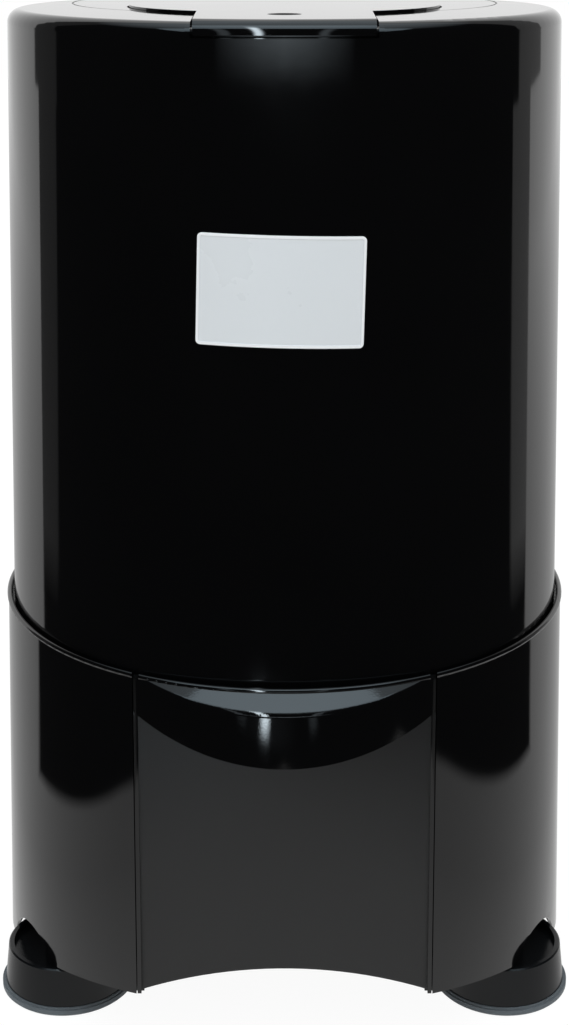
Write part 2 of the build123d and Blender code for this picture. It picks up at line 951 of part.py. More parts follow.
# Front panel: the hood, the recess wall under it and the two side returns, in one moulding
bead_angle = degrees(asin(panel_bead_half_width / base_top_radius))
bead_start = radians(-90 - bead_angle)
bead_plane = Plane(
    origin=(0, 0, 0),
    x_dir=(cos(bead_start), sin(bead_start), 0),
    z_dir=(sin(bead_start), -cos(bead_start), 0),
)

with BuildPart() as side_returns:
    with BuildSketch(Plane.XY):
        for side in (-panel_half_width, panel_half_width - panel_wall):
            with Locations((side, -panel_distance + panel_wall)):
                Rectangle(panel_wall, hood_reach, align=(Align.MIN, Align.MAX))
    extrude(amount=hood_edge_side)
    add(base_form.part, mode=Mode.INTERSECT)

with BuildPart() as front_panel:
    add(hood_form(0))
    with BuildSketch(Plane.XZ.offset(panel_distance - panel_wall)):
        Rectangle(2 * panel_half_width, hood_edge_side, align=(Align.CENTER, Align.MIN))
    extrude(amount=panel_wall)
    add(side_returns.part)
    extrude(
        below_arch(panel_low_side, panel_low_middle), amount=hood_reach, mode=Mode.SUBTRACT
    )
    with BuildSketch(Plane.XY.offset(lap_low)):
        with Locations(
            (-panel_half_width, -panel_distance + panel_wall),
            (panel_half_width, -panel_distance + panel_wall),
        ):
            Rectangle(2 * lap_width, panel_wall, align=(Align.CENTER, Align.MIN))
    extrude(amount=lap_top - lap_low)
    add(hood_form(panel_wall), mode=Mode.SUBTRACT)
    extrude(
        rounds([(0, 0)], shell_low_radius + panel_gap, shell_bottom - panel_gap),
        amount=height,
        mode=Mode.SUBTRACT,
    )
    extrude(
        rounds(
            [(0, -panel_distance - spout_bend)],
            spigot_radius + spout_hole_gap,
            hood_edge_middle - overrun,
        ),
        amount=panel_wall + 2 * overrun,
        mode=Mode.SUBTRACT,
    )
    with BuildSketch(bead_plane):
        with Locations((base_top_radius - lip_bead_radius / 2, lip_height)):
            Circle(lip_bead_radius)
    revolve(axis=Axis.Z, revolution_arc=2 * bead_angle)
write(front_panel.part, "front_panel")

# Floor pan: a plate with three hollow towers for the rubber mounts, vents and screw holes
with BuildPart() as floor_pan:
    with BuildSketch(Plane.XY.offset(pan_height)):
        Circle(pan_radius)
        with Locations((0, -panel_distance + panel_wall + pan_front_gap)):
            Rectangle(
                2 * (panel_half_width + panel_gap) + overrun,
                pan_radius,
                align=(Align.CENTER, Align.MAX),
                mode=Mode.SUBTRACT,
            )
    extrude(amount=pan_thickness)
    for x, y in mount_places.values():
        revolve(
            turned(
                [
                    (stud_radius + screw_clearance, tower_top - tower_wall),
                    (tower_top_radius - tower_wall, tower_top - tower_wall),
                    (tower_low_radius - tower_wall, pan_height),
                    (tower_low_radius, pan_height),
                    (tower_top_radius, tower_top),
                    (stud_radius + screw_clearance, tower_top),
                ],
                x,
                y,
            ),
            axis=upright(x, y),
        )
        extrude(
            rounds([(x, y)], tower_low_radius - tower_wall, pan_height),
            amount=pan_thickness,
            mode=Mode.SUBTRACT,
        )
    extrude(
        rounds(ring_places(vent_circle, vent_count), vent_radius, pan_height),
        amount=pan_thickness,
        mode=Mode.SUBTRACT,
    )
    extrude(rounds([(0, 0)], pan_hole_radius, pan_height), amount=pan_thickness, mode=Mode.SUBTRACT)
    extrude(
        rounds(pan_screw_places, screw_radius + screw_clearance, pan_height),
        amount=pan_thickness,
        mode=Mode.SUBTRACT,
    )
write(floor_pan.part, "floor_pan")

# Feet: a dished cup on a stem, and a rubber sole under it
for place, (x, y) in foot_places.items():
    with BuildPart() as foot_cup:
        revolve(
            turned(
                [
                    (0, pad_thickness),
                    (cup_low_radius, pad_thickness),
                    (cup_top_radius, pad_thickness + cup_height - cup_rim / 4),
                    (cup_top_radius - cup_rim / 4, pad_thickness + cup_height),
                    (cup_top_radius - cup_rim, pad_thickness + cup_height),
                    (cup_top_radius - cup_rim, pad_thickness + cup_height - cup_dish),
                    (stem_radius, pad_thickness + cup_height - cup_dish),
                    (stem_radius, pan_height - stem_flange_thickness),
                    (stem_flange_radius, pan_height - stem_flange_thickness),
                    (stem_flange_radius, pan_height),
                    (0, pan_height),
                ],
                x,
                y,
            ),
            axis=upright(x, y),
        )
    write(foot_cup.part, f"foot_cup_{place}")

    with BuildPart() as foot_pad:
        revolve(
            turned(
                [
                    (0, 0),
                    (pad_radius - pad_rim_step, 0),
                    (pad_radius, pad_rim_step),
                    (pad_radius, pad_thickness - pad_rim_step),
                    (pad_radius - pad_rim_step, pad_thickness - pad_rim_step),
                    (pad_radius - pad_rim_step, pad_thickness),
                    (0, pad_thickness),
                ],
                x,
                y,
            ),
            axis=upright(x, y),
        )
    write(foot_pad.part, f"foot_pad_{place}")

# Rubber mounts: waisted bobbins between the towers and the carrier plate, and their studs
mount_middle = (tower_top + carrier_height) / 2
for place, (x, y) in mount_places.items():
    with BuildPart() as rubber_mount:
        with BuildSketch(Plane(origin=(x, y, 0), x_dir=(1, 0, 0), z_dir=(0, -1, 0))) as bobbin:
            with BuildLine():
                Line((stud_radius, carrier_height), (stud_radius, tower_top))
                Line((stud_radius, tower_top), (mount_radius, tower_top))
                ThreePointArc(
                    (mount_radius, tower_top),
                    (mount_radius - mount_waist, mount_middle),
                    (mount_radius, carrier_height),
                )
                Line((mount_radius, carrier_height), (stud_radius, carrier_height))
            make_face()
        revolve(axis=upright(x, y))
    write(rubber_mount.part, f"rubber_mount_{place}")

carrier_top = carrier_height + carrier_thickness
stud_low = tower_top - tower_wall - stud_nut_height
with BuildPart() as mount_studs:
    extrude(
        rounds(mount_places.values(), stud_radius, stud_low),
        amount=carrier_top + stud_nut_height - stud_low,
    )
    for level in (stud_low, carrier_top):
        with BuildSketch(Plane.XY.offset(level)):
            with Locations(*mount_places.values()):
                RegularPolygon(stud_nut_radius, 6)
        extrude(amount=stud_nut_height)
write(mount_studs.part, "mount_studs")

# Carrier plate: a disc with a lobe over each rubber mount
with BuildPart() as carrier_plate:
    with BuildSketch(Plane.XY.offset(carrier_height)):
        Circle(carrier_radius)
        with Locations(*mount_places.values()):
            Circle(lobe_radius)
    extrude(amount=carrier_thickness)
    fillet(carrier_plate.edges().filter_by(Axis.Z), lobe_radius / 2)
    for places, radius in (
        ([(0, 0)], carrier_bore_radius),
        (mount_places.values(), stud_radius + screw_clearance),
        (pillar_places, pillar_radius + screw_clearance),
    ):
        extrude(rounds(places, radius, carrier_height), amount=carrier_thickness, mode=Mode.SUBTRACT)
write(carrier_plate.part, "carrier_plate")

# Motor: stator, windings, two end shields, rotor, fan and the three long bolts that hang it
stator_top = stator_low + stator_height
upper_shield_top = stator_top + shield_height
lower_shield_low = stator_low - shield_height

with BuildPart() as stator:
    revolve(tube(motor_radius, stator_bore_radius, stator_low, stator_top))
write(stator.part, "stator")

with BuildPart() as windings:
    for level in (stator_low - winding_height, stator_top):
        with BuildPart(mode=Mode.PRIVATE) as winding:
            revolve(
                tube(winding_outer_radius, winding_inner_radius, level, level + winding_height)
            )
            fillet(winding.edges(), winding_height / 4)
        add(winding.part)
write(windings.part, "windings")


def end_shield(butt, cap, bearing_seat):
    """A cup that butts on the stator, with three ears for the long bolts."""
    inward = 1 if butt > cap else -1
    ear_level = min(cap, cap + inward * shield_wall)
    with BuildPart() as shield:
        revolve(
            turned(
                [
                    (shield_hole_radius, cap),
                    (motor_radius, cap),
                    (motor_radius, butt),
                    (motor_radius - shield_wall, butt),
                    (motor_radius - shield_wall, cap + inward * shield_wall),
                    (shield_hole_radius, cap + inward * shield_wall),
                ]
            )
        )
        if bearing_seat:
            revolve(
                turned(
                    [
                        (shield_hole_radius, cap),
                        (bearing_radius + shield_wall, cap),
                        (bearing_radius + shield_wall, cap + bearing_width + shield_wall),
                        (bearing_radius + running_clearance, cap + bearing_width + shield_wall),
                        (bearing_radius + running_clearance, cap + shield_wall),
                        (shield_hole_radius, cap + shield_wall),
                    ]
                )
            )
        extrude(rounds(pillar_places, ear_radius, ear_level), amount=shield_wall)
        extrude(
            rounds(pillar_places, pillar_radius + screw_clearance, ear_level),
            amount=shield_wall,
            mode=Mode.SUBTRACT,
        )
    return shield.part


write(end_shield(stator_top, upper_shield_top, False), "upper_end_shield")
write(end_shield(stator_low, lower_shield_low, True), "lower_end_shield")

with BuildPart() as motor_bolts:
    extrude(
        rounds(pillar_places, pillar_radius, lower_shield_low - bolt_head),
        amount=carrier_top + stud_nut_height - lower_shield_low + bolt_head,
    )
    extrude(
        rounds(pillar_places, spacer_radius, lower_shield_low - bolt_head), amount=bolt_head
    )
    extrude(
        rounds(pillar_places, spacer_radius, upper_shield_top),
        amount=carrier_height - upper_shield_top,
    )
    extrude(rounds(pillar_places, spacer_radius, carrier_top), amount=stud_nut_height)
write(motor_bolts.part, "motor_bolts")

with BuildPart() as drive_shaft:
    revolve(disc(shaft_radius, shaft_low, shaft_top))
    chamfer(drive_shaft.edges().filter_by(GeomType.CIRCLE), running_clearance * 10)
write(drive_shaft.part, "drive_shaft")

with BuildPart() as rotor:
    revolve(
        tube(rotor_radius, shaft_radius, stator_low - rotor_overhang, stator_top + rotor_overhang)
    )
write(rotor.part, "rotor")

with BuildPart() as cooling_fan:
    revolve(tube(fan_radius, shaft_radius, fan_low, fan_low + fan_thickness))
    revolve(tube(fan_hub_radius, shaft_radius, fan_low, fan_low + fan_blade_height))
    with BuildSketch(Plane.XY.offset(fan_low)):
        with PolarLocations((fan_radius + fan_hub_radius - fan_blade_thickness) / 2, fan_blade_count):
            Rectangle(fan_radius - fan_hub_radius + fan_blade_thickness, fan_blade_thickness)
    extrude(amount=fan_blade_height)
write(cooling_fan.part, "cooling_fan")


def ball_bearing(low):
    """A bearing drawn as one ring with a groove between its races on both faces."""
    groove_inner = shaft_radius + bearing_race
    groove_outer = bearing_radius - bearing_race
    groove = bearing_race / 2
    with BuildPart() as bearing:
        revolve(tube(bearing_radius, shaft_radius + running_clearance, low, low + bearing_width))
        for level in (low, low + bearing_width - groove):
            revolve(
                tube(groove_outer, groove_inner, level, level + groove), mode=Mode.SUBTRACT
            )
    return bearing.part


write(ball_bearing(upper_bearing_low), "upper_bearing")
write(ball_bearing(lower_shield_low + shield_wall), "lower_bearing")

# Bearing housing: a cone between the carrier plate and the tub, with seats for bearing and seal
housing_top = tub_floor
seal_low = housing_top
with BuildPart() as bearing_housing:
    revolve(
        turned(
            [
                (bearing_radius + running_clearance, carrier_top),
                (housing_flange_radius, carrier_top),
                (housing_flange_radius, carrier_top + housing_flange),
                (housing_neck_radius, carrier_top + 2 * housing_flange),
                (housing_neck_radius, housing_top - 2 * housing_top_flange),
                (housing_top_radius, housing_top - housing_top_flange),
                (housing_top_radius, housing_top),
                (housing_spigot_radius, housing_top),
                (housing_spigot_radius, housing_top + housing_spigot),
                (seal_radius + running_clearance, housing_top + housing_spigot),
                (seal_radius + running_clearance, seal_low),
                (shield_hole_radius, seal_low),
                (shield_hole_radius, upper_bearing_low + bearing_width),
                (bearing_radius + running_clearance, upper_bearing_low + bearing_width),
            ]
        )
    )
    extrude(
        rounds(
            ring_places(tub_bolt_circle, tub_bolt_count),
            tub_bolt_radius + screw_clearance,
            housing_top - 2 * housing_top_flange,
        ),
        amount=2 * housing_top_flange,
        mode=Mode.SUBTRACT,
    )
write(bearing_housing.part, "bearing_housing")

with BuildPart() as shaft_seal:
    revolve(
        tube(seal_radius, shaft_radius + running_clearance, seal_low, seal_low + seal_thickness)
    )
write(shaft_seal.part, "shaft_seal")

# Tub: a deep pan with a drain spigot low at the front, its cover and the boot at the mouth
tub_inner = tub_radius - tub_wall
tub_bottom = tub_floor + tub_floor_thickness
with BuildPart() as tub:
    revolve(disc(tub_radius, tub_floor, tub_top))
    fillet(tub.edges().filter_by(GeomType.CIRCLE).group_by(Axis.Z)[0], tub_corner)
    with BuildPart(mode=Mode.PRIVATE) as tub_room:
        revolve(disc(tub_inner, tub_bottom, tub_top + overrun))
        fillet(
            tub_room.edges().filter_by(GeomType.CIRCLE).group_by(Axis.Z)[0], tub_corner - tub_wall
        )
    with BuildSketch(Plane.XZ.offset(tub_inner - tub_corner)):
        with Locations((0, spigot_height)):
            Circle(spigot_radius)
    extrude(amount=tub_corner + tub_wall + spigot_length)
    add(tub_room.part, mode=Mode.SUBTRACT)
    with BuildSketch(Plane.XZ.offset(tub_radius - 2 * tub_corner)):
        with Locations((0, spigot_height)):
            Circle(spigot_radius - spigot_wall)
    extrude(amount=2 * tub_corner + spigot_length + overrun, mode=Mode.SUBTRACT)
    extrude(
        rounds([(0, 0)], housing_spigot_radius + screw_clearance, tub_floor - overrun),
        amount=tub_floor_thickness + 2 * overrun,
        mode=Mode.SUBTRACT,
    )
    extrude(
        rounds(
            ring_places(tub_bolt_circle, tub_bolt_count),
            tub_bolt_radius + screw_clearance,
            tub_floor - overrun,
        ),
        amount=tub_floor_thickness + 2 * overrun,
        mode=Mode.SUBTRACT,
    )
write(tub.part, "tub")

with BuildPart() as tub_bolts:
    bolt_places = ring_places(tub_bolt_circle, tub_bolt_count)
    extrude(rounds(bolt_places, tub_bolt_head_radius, tub_bottom), amount=tub_bolt_head)
    extrude(
        rounds(bolt_places, tub_bolt_radius, housing_top - housing_top_flange - overrun),
        amount=housing_top_flange + overrun + tub_floor_thickness + tub_bolt_head,
    )
write(tub_bolts.part, "tub_bolts")

with BuildPart() as tub_cover:
    revolve(
        turned(
            [
                (tub_radius + cover_gap, tub_top - cover_skirt),
                (tub_radius + cover_gap + tub_wall, tub_top - cover_skirt),
                (tub_radius + cover_gap + tub_wall, tub_top + tub_wall),
                (cover_mouth_radius + tub_wall, tub_top + tub_wall),
                (cover_mouth_radius + tub_wall, tub_top + cover_lip_height),
                (cover_mouth_radius, tub_top + cover_lip_height),
                (cover_mouth_radius, tub_top),
                (tub_radius + cover_gap, tub_top),
            ]
        )
    )
write(tub_cover.part, "tub_cover")

with BuildPart() as tub_boot:
    revolve(
        tube(
            cover_mouth_radius - soft_clearance,
            mouth_radius + collar_wall + soft_clearance,
            tub_top + cover_lip_height - boot_height,
            tub_top + cover_lip_height,
        )
    )
write(tub_boot.part, "tub_boot")

# Drain: a bent spout under the hood, and the sleeve that joins it to the tub's spigot
spout_start = tub_radius + spigot_length + spout_joint_gap
spout_line = panel_distance + spout_bend
with BuildPart() as drain_spout:
    with BuildLine() as spout_path:
        FilletPolyline(
            (0, -spout_start, spigot_height),
            (0, -spout_line, spigot_height),
            (0, -spout_line, spigot_height - spout_bend - spout_drop),
            radius=spout_bend,
        )
    with BuildSketch(Plane(origin=spout_path.line @ 0, z_dir=spout_path.line % 0)):
        Circle(spigot_radius)
        Circle(spigot_radius - spigot_wall, mode=Mode.SUBTRACT)
    sweep(path=spout_path.line)
write(drain_spout.part, "drain_spout")

with BuildPart() as drain_sleeve:
    with BuildSketch(Plane.XZ.offset(spout_start - sleeve_length / 2)):
        with Locations((0, spigot_height)):
            Circle(spigot_radius + sleeve_wall)
            Circle(spigot_radius + running_clearance, mode=Mode.SUBTRACT)
    extrude(amount=sleeve_length)
write(drain_sleeve.part, "drain_sleeve")

# Drum: a perforated basket with an inward rim, a balance ring under it and a hub below its floor
drum_room = drum_radius - drum_wall
with BuildPart() as drum:
    with BuildSketch(Plane.XZ):
        with BuildLine():
            Polyline(
                (hub_boss_radius + screw_clearance, drum_floor),
                (drum_radius - drum_corner, drum_floor),
            )
            TangentArc(
                (drum_radius - drum_corner, drum_floor),
                (drum_radius, drum_floor + drum_corner),
                tangent=(1, 0),
            )
            Polyline(
                (drum_radius, drum_floor + drum_corner),
                (drum_radius, drum_top),
                (drum_mouth_radius, drum_top),
                (drum_mouth_radius, drum_top - drum_wall),
                (drum_room, drum_top - drum_wall),
                (drum_room, drum_floor + drum_corner),
            )
            TangentArc(
                (drum_room, drum_floor + drum_corner),
                (drum_radius - drum_corner, drum_floor + drum_floor_thickness),
                tangent=(0, -1),
            )
            Polyline(
                (drum_radius - drum_corner, drum_floor + drum_floor_thickness),
                (hub_boss_radius + screw_clearance, drum_floor + drum_floor_thickness),
                (hub_boss_radius + screw_clearance, drum_floor),
            )
        make_face()
    revolve(axis=Axis.Z)
    row_pitch = (drum_hole_high - drum_hole_low) / (drum_hole_rows - 1)
    for row in range(drum_hole_rows):
        turn = 180 / drum_hole_columns * (row % 2)
        for column in range(drum_hole_columns // 2):
            angle = radians(turn + 360 / drum_hole_columns * column)
            with BuildSketch(
                Plane(
                    origin=(0, 0, drum_hole_low + row * row_pitch),
                    x_dir=(-sin(angle), cos(angle), 0),
                    z_dir=(cos(angle), sin(angle), 0),
                )
            ):
                Circle(drum_hole_radius)
    extrude(amount=drum_radius + overrun, both=True, mode=Mode.SUBTRACT)
write(drum.part, "drum")

with BuildPart() as balance_ring:
    revolve(
        tube(
            drum_room - running_clearance,
            drum_room - ring_width,
            drum_top - drum_wall - ring_height,
            drum_top - drum_wall,
        )
    )
    fillet(balance_ring.edges().group_by(Axis.Z)[0], drum_wall)
write(balance_ring.part, "balance_ring")

with BuildPart() as drum_hub:
    revolve(
        turned(
            [
                (shaft_radius, hub_boss_low),
                (hub_boss_radius, hub_boss_low),
                (hub_radius, drum_floor - hub_flange),
                (hub_radius, drum_floor),
                (hub_boss_radius, drum_floor),
                (hub_boss_radius, hub_boss_top),
                (shaft_radius, hub_boss_top),
            ]
        )
    )
write(drum_hub.part, "drum_hub")

with BuildPart() as hub_nut:
    with BuildSketch(Plane.XY.offset(hub_boss_top)):
        RegularPolygon(hub_nut_radius, 6)
        Circle(shaft_radius, mode=Mode.SUBTRACT)
    extrude(amount=hub_nut_height)
write(hub_nut.part, "hub_nut")

# Brake: a drum on the shaft, and a cranked lever that carries the shoe on a pin in a bracket
with BuildPart() as brake_drum:
    brake_top = brake_drum_low + brake_drum_height
    revolve(tube(brake_drum_radius, shaft_radius, brake_top - brake_web, brake_top))
    revolve(tube(brake_drum_radius, brake_drum_radius - brake_rim, brake_drum_low, brake_top))
    revolve(tube(fan_hub_radius, shaft_radius, brake_drum_low, brake_top))
write(brake_drum.part, "brake_drum")

arm_top = lever_pivot_height + lever_arm_height
shoe_face = brake_drum_radius + shoe_gap
shoe_back = shoe_face + shoe_depth
arm_level = arm_top - lever_arm_thickness
with BuildPart() as brake_lever:
    with BuildSketch(Plane.XY.offset(eye_low)):
        with Locations((rod_offset, -rod_foot_distance)):
            Circle(lever_eye_radius)
        with Locations((0, -lever_pivot_distance)):
            Rectangle(lever_width, 2 * lever_barrel_radius)
        make_hull()
    extrude(amount=lever_thickness)
    with BuildSketch(Plane.YZ.offset(-lever_width / 2)):
        with Locations((-lever_pivot_distance, lever_pivot_height)):
            Circle(lever_barrel_radius)
    extrude(amount=lever_width)
    with BuildSketch(Plane.YZ.offset(-lever_arm_width / 2)):
        with BuildLine():
            Polyline(
                (-lever_pivot_distance - lever_arm_thickness / 2, lever_pivot_height),
                (-lever_pivot_distance - lever_arm_thickness / 2, arm_top),
                (-shoe_back, arm_top),
                (-shoe_back, arm_level),
                (-lever_pivot_distance + lever_arm_thickness / 2, arm_level),
                (-lever_pivot_distance + lever_arm_thickness / 2, lever_pivot_height),
                close=True,
            )
        make_face()
    extrude(amount=lever_arm_width)
    with BuildSketch(Plane.YZ.offset(-lever_width)):
        with Locations((-lever_pivot_distance, lever_pivot_height)):
            Circle(lever_pin_radius + running_clearance)
    extrude(amount=2 * lever_width, mode=Mode.SUBTRACT)
    extrude(
        rounds(rod_foot, lever_eye_bore, eye_low), amount=lever_thickness, mode=Mode.SUBTRACT
    )
write(brake_lever.part, "brake_lever")

with BuildPart() as brake_shoe:
    shoe_low = arm_top - lever_arm_thickness / 2 - shoe_height / 2
    with BuildSketch(Plane.XY.offset(shoe_low)):
        with Locations((0, -shoe_back)):
            Rectangle(shoe_width, 2 * shoe_depth, align=(Align.CENTER, Align.MIN))
        Circle(shoe_face, mode=Mode.SUBTRACT)
    extrude(amount=shoe_height)
write(brake_shoe.part, "brake_shoe")

cheek_inner = lever_width / 2 + bracket_gap
with BuildPart() as brake_bracket:
    with BuildSketch(Plane.XZ.offset(lever_pivot_distance - bracket_depth / 2)):
        with BuildLine():
            Polyline(
                (-cheek_inner - bracket_wall, lever_pivot_height - bracket_below_pin),
                (-cheek_inner - bracket_wall, carrier_height),
                (cheek_inner + bracket_wall, carrier_height),
                (cheek_inner + bracket_wall, lever_pivot_height - bracket_below_pin),
                (cheek_inner, lever_pivot_height - bracket_below_pin),
                (cheek_inner, carrier_height - bracket_wall),
                (-cheek_inner, carrier_height - bracket_wall),
                (-cheek_inner, lever_pivot_height - bracket_below_pin),
                close=True,
            )
        make_face()
    extrude(amount=bracket_depth)
    with BuildSketch(Plane.YZ.offset(-lever_width)):
        with Locations((-lever_pivot_distance, lever_pivot_height)):
            Circle(lever_pin_radius + running_clearance / 2)
    extrude(amount=2 * lever_width, mode=Mode.SUBTRACT)
write(brake_bracket.part, "brake_bracket")

with BuildPart() as brake_pin:
    with BuildSketch(Plane.YZ.offset(-cheek_inner - bracket_wall)):
        with Locations((-lever_pivot_distance, lever_pivot_height)):
            Circle(lever_pin_radius)
    extrude(amount=2 * (cheek_inner + bracket_wall))
write(brake_pin.part, "brake_pin")

# Capacitor in a clip on the floor pan
with BuildPart() as capacitor:
    revolve(
        turned(
            [
                (0, pan_top),
                (capacitor_radius, pan_top),
                (capacitor_radius, pan_top + capacitor_height),
                (0, pan_top + capacitor_height),
            ],
            -capacitor_side,
            capacitor_back,
        ),
        axis=upright(-capacitor_side, capacitor_back),
    )
    fillet(capacitor.edges().group_by(Axis.Z)[-1], clip_wall)
write(capacitor.part, "capacitor")

with BuildPart() as capacitor_clip:
    with BuildSketch(Plane.XY.offset(pan_top)):
        with Locations((-capacitor_side, capacitor_back)):
            Circle(capacitor_radius + clip_wall + running_clearance)
            Rectangle(2 * (capacitor_radius + clip_foot), clip_height)
            Circle(capacitor_radius + running_clearance, mode=Mode.SUBTRACT)
    extrude(amount=clip_wall)
    with BuildSketch(Plane.XY.offset(pan_top)):
        with Locations((-capacitor_side, capacitor_back)):
            Circle(capacitor_radius + clip_wall + running_clearance)
            Circle(capacitor_radius + running_clearance, mode=Mode.SUBTRACT)
    extrude(amount=clip_height)
write(capacitor_clip.part, "capacitor_clip")

# Cord inlet: a flanged bush through the back of the lower casing
gland_wall = base_radius(gland_height - gland_flange_radius)
with BuildPart() as cord_gland:
    with BuildSketch(Plane.XZ.offset(-gland_wall - gland_flange)):
        with Locations((0, gland_height)):
            Circle(gland_flange_radius)
    extrude(amount=gland_flange)
    with BuildSketch(Plane.XZ.offset(-gland_wall)):
        with Locations((0, gland_height)):
            Circle(gland_radius)
    extrude(amount=base_wall + gland_tail)
    with BuildSketch(Plane.XZ.offset(-gland_wall - gland_flange - overrun)):
        with Locations((0, gland_height)):
            Circle(gland_bore_radius)
    extrude(amount=gland_flange + base_wall + gland_tail + 2 * overrun, mode=Mode.SUBTRACT)
write(cord_gland.part, "cord_gland")

# Screws that hold the floor pan and the upper casing to the lower casing
with BuildPart() as casing_screws:
    extrude(rounds(pan_screw_places, screw_head_radius, pan_height - screw_head), amount=screw_head)
    extrude(
        rounds(pan_screw_places, screw_radius, pan_height - screw_head),
        amount=screw_head + pan_thickness + ledge_thickness,
    )
    extrude(rounds(ledge_screw_places, screw_head_radius, ledge_low - screw_head), amount=screw_head)
    extrude(
        rounds(ledge_screw_places, screw_radius, ledge_low - screw_head),
        amount=screw_head + ledge_thickness + shell_foot_thickness,
    )
write(casing_screws.part, "casing_screws")
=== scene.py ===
# Spin dryer: a gloss black casing on three rubber-soled feet, its lid, drum, motor and brake,
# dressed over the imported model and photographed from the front, close and just above the lid.
from math import pi, radians

import bmesh
import bpy
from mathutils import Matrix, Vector


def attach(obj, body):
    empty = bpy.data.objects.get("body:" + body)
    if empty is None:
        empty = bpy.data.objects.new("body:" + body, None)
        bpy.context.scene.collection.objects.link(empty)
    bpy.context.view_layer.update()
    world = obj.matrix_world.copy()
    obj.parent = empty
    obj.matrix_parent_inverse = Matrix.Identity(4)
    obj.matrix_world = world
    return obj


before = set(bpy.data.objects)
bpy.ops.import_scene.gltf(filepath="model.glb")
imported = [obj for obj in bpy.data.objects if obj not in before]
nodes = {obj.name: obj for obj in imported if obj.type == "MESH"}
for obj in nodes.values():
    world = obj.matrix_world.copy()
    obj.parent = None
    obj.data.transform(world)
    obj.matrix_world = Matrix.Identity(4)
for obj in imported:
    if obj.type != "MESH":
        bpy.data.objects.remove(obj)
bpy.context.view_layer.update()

scene = bpy.context.scene
mm = 0.001


# Shader nodes: one helper adds a node with its settings, one joins two sockets

def add_node(tree, kind, inputs=None, **settings):
    node = tree.nodes.new(kind)
    for key, value in settings.items():
        setattr(node, key, value)
    for key, value in (inputs or {}).items():
        node.inputs[key].default_value = value
    return node


def join(tree, source, output, target, socket):
    tree.links.new(source.outputs[output], target.inputs[socket])


def blank_finish(name):
    """A material with its shader and output joined, and the object's own coordinates."""
    material = bpy.data.materials.new(name)
    material.use_nodes = True
    tree = material.node_tree
    tree.nodes.clear()
    output = add_node(tree, "ShaderNodeOutputMaterial")
    shader = add_node(tree, "ShaderNodeBsdfPrincipled")
    place = add_node(tree, "ShaderNodeTexCoord")
    join(tree, shader, "BSDF", output, "Surface")
    return material, tree, shader, place


def mottle(tree, place, shader, dark, light, scale, detail=4.0):
    """Base colour that drifts between two shades over the piece."""
    cloud = add_node(tree, "ShaderNodeTexNoise", {"Scale": scale, "Detail": detail})
    shades = add_node(tree, "ShaderNodeMix", data_type="RGBA")
    shades.inputs["A"].default_value = (*dark, 1)
    shades.inputs["B"].default_value = (*light, 1)
    join(tree, place, "Object", cloud, "Vector")
    join(tree, cloud, "Fac", shades, "Factor")
    join(tree, shades, "Result", shader, "Base Color")


def handled(tree, place, shader, low, high, scale):
    """Roughness that drifts, as where a surface has been wiped and handled."""
    cloud = add_node(tree, "ShaderNodeTexNoise", {"Scale": scale, "Detail": 6.0, "Roughness": 0.6})
    spread = add_node(
        tree, "ShaderNodeMapRange", {"From Min": 0.3, "From Max": 0.7, "To Min": low, "To Max": high}
    )
    join(tree, place, "Object", cloud, "Vector")
    join(tree, cloud, "Fac", spread, "Value")
    join(tree, spread, "Result", shader, "Roughness")
    return spread


def pitted(tree, place, shader, scale, strength, depth):
    """A fine surface grain, as a bump."""
    grain = add_node(tree, "ShaderNodeTexNoise", {"Scale": scale, "Detail": 2.0})
    bump = add_node(tree, "ShaderNodeBump", {"Strength": strength, "Distance": depth})
    join(tree, place, "Object", grain, "Vector")
    join(tree, grain, "Fac", bump, "Height")
    join(tree, bump, "Normal", shader, "Normal")


def moulded(name, dark, light, smooth, rough, grain_scale, grain, ior=1.5):
    """A moulded plastic: its colour, how glossy it is and the grain of its mould."""
    material, tree, shader, place = blank_finish(name)
    shader.inputs["IOR"].default_value = ior
    mottle(tree, place, shader, dark, light, 9.0)
    handled(tree, place, shader, smooth, rough, 14.0)
    pitted(tree, place, shader, grain_scale, grain, 0.0004)
    return material


casing_dark = (0.0012, 0.0012, 0.0014)
casing_light = (0.0024, 0.0024, 0.0026)
casing_smooth = 0.03
casing_rough = 0.07
recess_wall = 152.4 * mm
etched_from = 1.2 * mm
etched_to = 0.4 * mm
etched_roughness = 0.3


def hood_and_recess(name):
    """Gloss black like the casing, but etched to a satin over the flat wall of the recess."""
    material, tree, shader, place = blank_finish(name)
    shader.inputs["IOR"].default_value = 1.5
    mottle(tree, place, shader, casing_dark, casing_light, 9.0)
    gloss = handled(tree, place, shader, casing_smooth, casing_rough, 14.0)
    parts = add_node(tree, "ShaderNodeSeparateXYZ")
    join(tree, place, "Object", parts, "Vector")
    etched = {
        "From Min": -recess_wall - etched_from,
        "From Max": -recess_wall - etched_to,
        "To Min": 0.0,
        "To Max": etched_roughness,
    }
    recess = add_node(tree, "ShaderNodeMapRange", etched)
    join(tree, parts, "Y", recess, "Value")
    total = add_node(tree, "ShaderNodeMath", operation="ADD")
    join(tree, gloss, "Result", total, 0)
    join(tree, recess, "Result", total, 1)
    join(tree, total, "Value", shader, "Roughness")
    pitted(tree, place, shader, 900.0, 0.03, 0.0003)
    return material


def rubber(name, dark, light):
    """Moulded rubber: matt, with a bloom on it."""
    material, tree, shader, place = blank_finish(name)
    shader.inputs["IOR"].default_value = 1.52
    shader.inputs["Sheen Weight"].default_value = 0.15
    mottle(tree, place, shader, dark, light, 60.0)
    handled(tree, place, shader, 0.55, 0.75, 90.0)
    pitted(tree, place, shader, 1600.0, 0.3, 0.0002)
    return material


